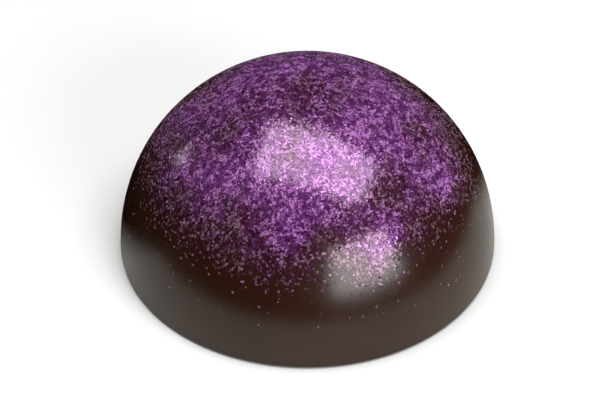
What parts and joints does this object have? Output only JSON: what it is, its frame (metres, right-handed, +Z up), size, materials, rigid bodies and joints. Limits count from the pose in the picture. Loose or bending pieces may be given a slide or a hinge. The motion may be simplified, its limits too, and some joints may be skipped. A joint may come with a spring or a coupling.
{
  "type": "chocolate praline",
  "caption": "Half-ball moulded dark chocolate praline with a luster-dusted purple crown, a bare glossy rim and a flat underside.",
  "frame": {"origin": "middle of the flat underside, on the surface the praline lies on", "axes": "+Z up the dome's axis of turning; +X and +Y are any two square directions round it, with -Y towards the usual viewer"},
  "size_m": [0.03, 0.03, 0.0154],
  "materials": {
    "dark_chocolate": "gloss",
    "luster_dust": "satin"
  },
  "bodies": {
    "root": {"praline": "dark_chocolate"}
  },
  "joints": []
}
